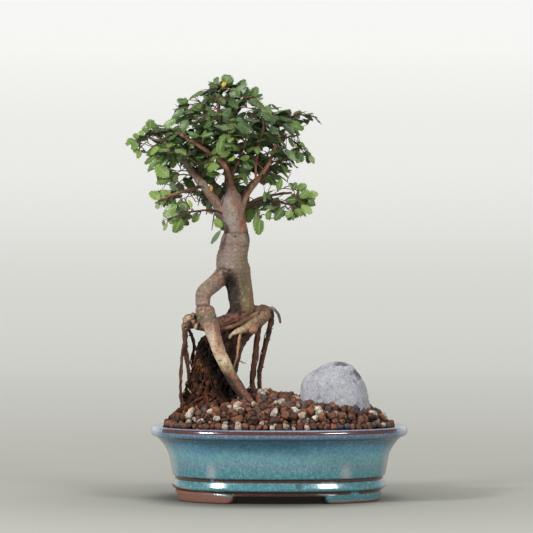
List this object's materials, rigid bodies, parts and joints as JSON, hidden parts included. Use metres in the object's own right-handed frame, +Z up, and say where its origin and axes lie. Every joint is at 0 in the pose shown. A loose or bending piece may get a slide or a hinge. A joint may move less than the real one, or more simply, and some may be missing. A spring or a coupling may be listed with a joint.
{
  "type": "Chinese elm bonsai in an oval pot",
  "caption": "Exposed-root Chinese elm bonsai with small toothed leaves, in an oval glazed pot with a grey stone on its soil.",
  "frame": {"origin": "below the middle of the whole object, on the surface the feet stand on", "axes": "+Z up, +X to the viewer's right, -Y towards the viewer, along the pot's length on X"},
  "size_m": [0.2212, 0.157, 0.3329],
  "materials": {
    "glaze": "glossy",
    "screen": "matte",
    "soil": "rough",
    "root_clump": "rough",
    "stone": "rough",
    "bark": "rough",
    "leaf": "satin"
  },
  "bodies": {
    "root": {"pot": "glaze", "drain_screen_left": "screen", "drain_screen_right": "screen", "soil": "soil", "root_clump": "root_clump", "stone": "stone", "wood": "bark", "spray_01": "leaf", "spray_02": "leaf", "spray_03": "leaf", "spray_04": "leaf", "spray_05": "leaf", "spray_06": "leaf", "spray_07": "leaf", "spray_08": "leaf", "spray_09": "leaf", "spray_10": "leaf", "spray_11": "leaf", "spray_12": "leaf", "spray_13": "leaf", "spray_14": "leaf", "spray_15": "leaf", "spray_16": "leaf", "spray_17": "leaf", "spray_18": "leaf", "spray_19": "leaf", "spray_20": "leaf", "spray_21": "leaf", "spray_22": "leaf", "spray_23": "leaf", "spray_24": "leaf", "spray_25": "leaf", "spray_26": "leaf", "spray_27": "leaf", "spray_28": "leaf", "spray_29": "leaf", "spray_30": "leaf", "spray_31": "leaf", "spray_32": "leaf", "spray_33": "leaf", "spray_34": "leaf", "spray_35": "leaf", "spray_36": "leaf", "spray_37": "leaf", "spray_38": "leaf", "spray_39": "leaf", "spray_40": "leaf", "spray_41": "leaf", "spray_42": "leaf", "spray_43": "leaf", "spray_44": "leaf", "spray_45": "leaf", "spray_46": "leaf", "spray_47": "leaf", "spray_48": "leaf", "spray_49": "leaf", "spray_50": "leaf", "spray_51": "leaf", "spray_52": "leaf"}
  },
  "joints": []
}
